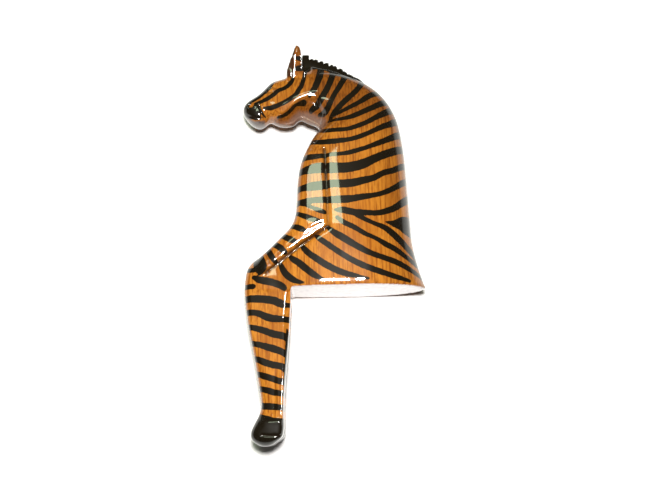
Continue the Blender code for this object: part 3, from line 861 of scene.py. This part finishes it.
def neck_top(flat, out, tilt):
    """How much comes off beside the mane: the neck is only filled up, and the mane's foot only cut."""
    x, z = flat.T
    below = -inside_area(flat, MANE)
    wanted = curve(NECK_TOP, x) + NECK_RISE * below
    shoulder = np.minimum(out - wanted, 0) * between(below, (0, NECK_WIDTH))
    foot = np.maximum(out - MANE_FOOT, 0) * (below <= 0) * (below > -MANE_FOOT_WIDTH)
    on_neck = rising(x, NECK_FRONT) * falling(x, NECK_BACK) * (z > NECK_FROM)
    return (shoulder + foot) * on_neck * (tilt > NECK_LEAST_TILT) * (out > NECK_LEAST_HEIGHT)


def ear_front(x, z, out):
    """How far the ear's front edge moves forward."""
    on_rim = rising(z, EAR_FRONT_FROM) * falling(z, EAR_FRONT_TO) * falling(x, EAR_FRONT_BACK)
    return EAR_FORWARD * (on_rim * (out > EAR_LEAST_HEIGHT)) * (x > EAR_FRONT_LIMIT)


def crest(x, z, out):
    """The places (x, z) with the forelock raised and the notches cut across the mane's crest."""
    on_crest = out < CREST_HALF_WIDTH
    top = rising(z, FORELOCK_FROM) * rising(x, FORELOCK_FRONT) * falling(x, FORELOCK_BACK)
    z = z + FORELOCK_HEIGHT * top * on_crest
    for notch_x, notch_z, depth in CREST_NOTCHES:
        along = (x - notch_x) * CREST_LEAN[1] - (z - notch_z) * CREST_LEAN[0]
        above = (x - notch_x) * CREST_LEAN[0] + (z - notch_z) * CREST_LEAN[1]
        bite = np.clip(1 - np.abs(along) / NOTCH_HALF, 0, 1) * rising(above, (-NOTCH_FADE, 0.0)) * on_crest
        x = x - depth * bite * CREST_LEAN[0]
        z = z - depth * bite * CREST_LEAN[1]
    return x, z


def carve(mesh):
    """Gives the mesh the forms that are finer than the solid's, within the solid's box."""
    places = figure_places(mesh)
    normals = read_points(mesh, "normal")
    flat = places[:, :2]
    x, z, h = places.T
    out = np.abs(h)
    side = np.sign(h)
    tilt = normals[:, 2] * side
    in_throat = inside_area(flat, THROAT)
    beside_groove = away_from(flat, FOREARM_GROOVE)

    deep = carved_lines(flat)
    deep += throat_step(flat, in_throat)
    deep += nostril(x, z)
    deep += leg_corner(x, z, out)
    deep -= hoof_brow(x, z)
    deep += arm_face(x, z, out)
    deep += forearm_face(x, z, out, beside_groove)
    deep += thigh_face(x, z, out, beside_groove)
    deep += jaw_bevel(flat, out, in_throat)
    deep += cheek_fall(x, z)
    deep += ear_channel(x, z, out)
    deep *= rising(tilt, CARVED_TILT) * rising(out, CARVED_HEIGHT)
    deep += head_edge(x, flat, tilt, normals[:, 1]) + neck_top(flat, out, tilt)

    h = h - side * deep
    out = np.abs(h)
    x = x - ear_front(x, z, out)
    x, z = crest(x, z, out)
    moved = np.stack([x, z, h], axis=1) * MM + np.array(ZERO)
    low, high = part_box("zebra")
    reshape(mesh, np.clip(moved, np.array(low), np.array(high)))


def black_paint(flat):
    """How deep each place (x, z) lies in black paint, in millimetres, below 0 outside."""
    depth = np.full(len(flat), -PAINT_LIMIT)
    for row in STRIPES:
        line = paved(row)
        reach = line[:, 2].max() / 2 + STRIPE_MARGIN
        lowest = line[:, :2].min(axis=0) - reach
        highest = line[:, :2].max(axis=0) + reach
        near = np.all((flat > lowest) & (flat < highest), axis=1)
        depth[near] = np.maximum(depth[near], inside_line(flat[near], line))
    for outline in (MUZZLE, MANE, HAND, HOOF):
        depth = np.maximum(depth, inside_area(flat, outline))
    return np.clip(depth, -PAINT_LIMIT, PAINT_LIMIT)


def painted_groove_shade(flat):
    """How dark each place (x, z) is with the painted shade in the carved lines, from 0 to 1."""
    groove_shade = np.zeros(len(flat))
    for line, half, depth, spread in CARVED_LINES:
        dark = min(depth * GROOVE_SHADE_FOR_DEPTH, 1) * np.exp(-(away_from(flat, line) / half / spread) ** 2)
        if line is ARM_GROOVE:
            dark *= ARM_GROOVE_SHADE_BELOW + (1 - ARM_GROOVE_SHADE_BELOW) * rising(flat[:, 1], ARM_GROOVE_SHADE_RISE)
        groove_shade = np.maximum(groove_shade, dark)
    return groove_shade


def darker_stain_and_shade(flat):
    """How much darker each place (x, z) is made by stain, and on the throat by painted shade: up to 1 for
    brown wood, more on the ear's rim.
    """
    x, z = flat.T
    stain_and_shade = NECK_STAIN * rising(z, NECK_STAIN_Z) * rising(x, NECK_STAIN_X)
    stain_and_shade += BACK_STAIN * rising(x, BACK_STAIN_X)
    stain_and_shade += BODY_STAIN * rising(z, BODY_STAIN_Z)
    # painted shade on the throat under the jaw
    stain_and_shade = np.maximum(stain_and_shade, THROAT_SHADE * rising(inside_area(flat, THROAT), THROAT_SHADE_EDGE))
    stain_and_shade = np.maximum(stain_and_shade, EAR_STAIN * rising(z, EAR_STAIN_Z) * (x < EAR_STAIN_BACK))
    rim_back = curve(EAR_CHANNEL, z, 1, 0) + RIM_BEHIND_CHANNEL
    on_rim = between(x, (RIM_STAIN_FRONT, rim_back)) * rising(z, RIM_STAIN_Z)
    return np.maximum(stain_and_shade, RIM_STAIN * on_rim)


def store(mesh, name, values):
    """Keeps a number for each of the mesh's points, for the material to read."""
    layer = mesh.attributes.new(name, "FLOAT", "POINT")
    layer.data.foreach_set("value", values.astype(np.float32))


def paint(mesh):
    """Stores what the material needs to know of each point: paint, bare wood, painted shade in the carved
    lines, painted reflection on the throat and the lip, and stain with painted shade on the throat.
    """
    places = figure_places(mesh)
    flat = places[:, :2]
    x, z, h = places.T
    store(mesh, "paint", black_paint(flat))
    looks_down = read_points(mesh, "normal")[:, 1] < BARE_TILT
    store(mesh, "bare", (looks_down & (np.abs(z) < BARE_LEVEL) & (x > BARE_FRONT)) * 1.0)
    # painted shade in the carved lines
    store(mesh, "groove_shade", painted_groove_shade(flat) * (np.abs(h) > GROOVE_SHADE_FROM_HEIGHT))
    # painted reflection of the white floor on the throat and the lip
    store(mesh, "throat", rising(inside_area(flat, PAINTED_THROAT_REFLECTION), PAINTED_THROAT_REFLECTION_EDGE))
    store(mesh, "lip_reflection", rising(inside_area(flat, PAINTED_LIP_REFLECTION), PAINTED_LIP_REFLECTION_EDGE))
    store(mesh, "stain_and_shade", darker_stain_and_shade(flat))


class Shader:
    """A material's node tree, with short calls to add its nodes."""

    def __init__(self, name):
        self.material = bpy.data.materials.new(name)
        self.material.use_nodes = True
        self.nodes = self.material.node_tree.nodes
        self.links = self.material.node_tree.links
        self.surface = self.nodes["Principled BSDF"]

    def feed(self, socket, value):
        """Links another node's output to the socket, or gives it a fixed value."""
        if isinstance(value, bpy.types.NodeSocket):
            self.links.new(value, socket)
        else:
            socket.default_value = value

    def set(self, name, value):
        """Feeds one of the surface's own sockets."""
        self.feed(self.surface.inputs[name], value)

    def attribute(self, name):
        """A number that is stored for each point of the mesh."""
        node = self.nodes.new("ShaderNodeAttribute")
        node.attribute_name = name
        return node.outputs["Fac"]

    def noise(self, lengths, detail=2.0, roughness=0.5):
        """Noise in object coordinates, with its size along each axis in millimetres."""
        where = self.nodes.new("ShaderNodeTexCoord")
        stretched = self.nodes.new("ShaderNodeMapping")
        stretched.inputs["Scale"].default_value = [1 / (length * MM) for length in lengths]
        self.links.new(where.outputs["Object"], stretched.inputs["Vector"])
        node = self.nodes.new("ShaderNodeTexNoise")
        node.inputs["Scale"].default_value = 1.0
        node.inputs["Detail"].default_value = detail
        node.inputs["Roughness"].default_value = roughness
        self.links.new(stretched.outputs["Vector"], node.inputs["Vector"])
        return node.outputs["Fac"]

    def ramp(self, value, limits):
        """A smooth rise from 0 to the last of the limits, between values of the first and the second."""
        node = self.nodes.new("ShaderNodeMapRange")
        node.interpolation_type = "SMOOTHSTEP"
        self.feed(node.inputs["Value"], value)
        node.inputs["From Min"].default_value, node.inputs["From Max"].default_value = limits[:2]
        node.inputs["To Max"].default_value = limits[2]
        return node.outputs["Result"]

    def math(self, operation, first, second):
        """Two values joined by an operation such as ADD or MULTIPLY."""
        node = self.nodes.new("ShaderNodeMath")
        node.operation = operation
        self.feed(node.inputs[0], first)
        self.feed(node.inputs[1], second)
        return node.outputs[0]

    def mix(self, share, first, second):
        """The first colour with a share of the second over it."""
        node = self.nodes.new("ShaderNodeMix")
        node.data_type = "RGBA"
        self.feed(node.inputs["Factor"], share)
        self.feed(node.inputs[MIX_FIRST], first)
        self.feed(node.inputs[MIX_SECOND], second)
        return node.outputs[MIX_RESULT]


def painted_wood():
    """Stained wood with black paint, painted reflection on the throat and the lip, painted shade on the
    throat and in the carved lines, varnish, and bare wood under the seat.
    """
    shader = Shader("painted_wood")
    streaks = shader.noise(STREAKS, detail=3.0, roughness=0.6)
    flecks = shader.noise(FLECKS, roughness=0.6)
    clouds = shader.noise(CLOUDS)
    wood = shader.mix(shader.ramp(streaks, STREAKS_SHOW), PALE_WOOD, DEEP_WOOD)
    wood = shader.mix(shader.ramp(flecks, FLECKS_SHOW), wood, FLECKED_WOOD)
    wood = shader.mix(shader.ramp(clouds, CLOUDS_SHOW), wood, CLOUDED_WOOD)

    # stain, and painted shade on the throat under the jaw
    stained_and_shaded = shader.mix(shader.ramp(streaks, STAIN_AND_SHADE_STREAKS_SHOW), STAIN_AND_SHADE_WOOD, STAIN_AND_SHADE_DEEP)
    stain_and_shade = shader.attribute("stain_and_shade")
    wood = shader.mix(shader.math("MINIMUM", stain_and_shade, 1.0), wood, stained_and_shaded)
    rim = shader.math("MAXIMUM", shader.math("SUBTRACT", stain_and_shade, RIM_STAIN_OVER), 0.0)
    wood = shader.mix(rim, wood, EAR_RIM_BROWN)

    wobble = shader.math("SUBTRACT", shader.noise(BRUSH_WOBBLE), NOISE_MIDDLE)
    wobble = shader.math("MULTIPLY", wobble, WOBBLE_DEPTH)
    edge = shader.math("ADD", shader.attribute("paint"), wobble)
    colour = shader.mix(shader.ramp(edge, PAINT_EDGE), wood, BLACK)
    # painted reflection of the white floor on the throat and the lip
    throat = shader.math("MULTIPLY", shader.attribute("throat"), THROAT_REFLECTION_SHARE)
    colour = shader.mix(throat, colour, THROAT_REFLECTION_GREY)
    lip_reflection = shader.math("MULTIPLY", shader.attribute("lip_reflection"), LIP_REFLECTION_SHARE)
    colour = shader.mix(lip_reflection, colour, LIP_REFLECTION_GREY)

    lint = shader.noise(LINT, detail=3.0)
    plain = shader.mix(shader.ramp(lint, LINT_SHOWS), BARE_WOOD, BARE_SHADE)
    colour = shader.mix(shader.attribute("bare"), colour, plain)
    # painted shade darkens the carved lines
    groove_shade = shader.math("MULTIPLY", shader.attribute("groove_shade"), GROOVE_SHADE_SHARE)
    colour = shader.mix(groove_shade, colour, GROOVE_SHADE_BROWN)

    shader.set("Base Color", colour)
    shader.set("Roughness", WOOD_ROUGHNESS)
    shader.set("Specular IOR Level", WOOD_SHINE)
    shader.set("Coat Weight", COAT_WEIGHT)
    shader.set("Coat Roughness", COAT_ROUGHNESS)
    return shader.material


def zebra():
    """The figure, which takes the place of the plain solid."""
    piece = fine_copy("carved_zebra")
    mesh = piece.data
    sand(mesh)
    polish(mesh)
    refine(mesh, finely_carved(mesh))
    carve(mesh)
    paint(mesh)
    mesh.materials.append(painted_wood())
    for face in mesh.polygons:
        face.use_smooth = True
    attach(piece, "root")
    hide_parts("zebra")


def floor():
    """The white paper that the figure lies on."""
    mesh = bpy.data.meshes.new("floor")
    half = FLOOR_HALF
    corners = [(-half, -half, 0), (half, -half, 0), (half, half, 0), (-half, half, 0)]
    mesh.from_pydata(corners, [], [(0, 1, 2, 3)])
    made = bpy.data.objects.new("floor", mesh)
    bpy.context.scene.collection.objects.link(made)
    shader = Shader("paper")
    shader.set("Base Color", PAPER)
    shader.set("Roughness", PAPER_ROUGHNESS)
    mesh.materials.append(shader.material)


def camera():
    """A camera at the photograph's angle, rolled a little."""
    tilt = math.radians(CAMERA_TILT)
    roll = math.radians(CAMERA_ROLL)
    rises = Vector((0, math.cos(tilt), math.sin(tilt)))
    back = Vector((0, -math.sin(tilt), math.cos(tilt)))
    across = Vector((1, 0, 0)) * math.cos(roll) - rises * math.sin(roll)
    upward = Vector((1, 0, 0)) * math.sin(roll) + rises * math.cos(roll)
    target = ZERO + Vector(LOOKED_AT) * MM
    data = bpy.data.cameras.new("camera")
    data.lens = SENSOR_WIDTH * FOCAL_PIXELS / PHOTO_WIDTH
    data.sensor_width = SENSOR_WIDTH
    made = bpy.data.objects.new("camera", data)
    bpy.context.scene.collection.objects.link(made)
    turn = Matrix((across, upward, back)).transposed().to_4x4()
    made.matrix_world = Matrix.Translation(target + back * CAMERA_DISTANCE) @ turn
    bpy.context.scene.camera = made


def lamp(name, place, target, size, power, colour):
    """A rectangular soft light at a place, facing a target."""
    data = bpy.data.lights.new(name, "AREA")
    data.shape = "RECTANGLE"
    data.size, data.size_y = size
    data.energy = power
    data.color = colour
    made = bpy.data.objects.new(name, data)
    bpy.context.scene.collection.objects.link(made)
    made.location = place
    made.rotation_euler = (Vector(target) - Vector(place)).to_track_quat("-Z", "Y").to_euler()


def lights():
    """A small hard light beside the lens, a wide one above the head, and a faint warm sky."""
    world = bpy.data.worlds.new("studio")
    world.use_nodes = True
    sky = world.node_tree.nodes["Background"]
    sky.inputs["Color"].default_value = SKY_COLOUR
    sky.inputs["Strength"].default_value = SKY_STRENGTH
    bpy.context.scene.world = world
    bpy.context.scene.view_settings.view_transform = "Standard"
    by_lens = bpy.context.scene.camera.matrix_world @ Vector((0, KEY_ABOVE_LENS, 0))
    lamp("key", by_lens, (0, 0, 0), KEY_SIZE, KEY_POWER, KEY_COLOUR)
    above = (*PANEL_PLACE, PANEL_HEIGHT)
    lamp("panel", above, (*PANEL_PLACE, 0), PANEL_SIZE, PANEL_POWER, PANEL_COLOUR)


zebra()
floor()
camera()
lights()
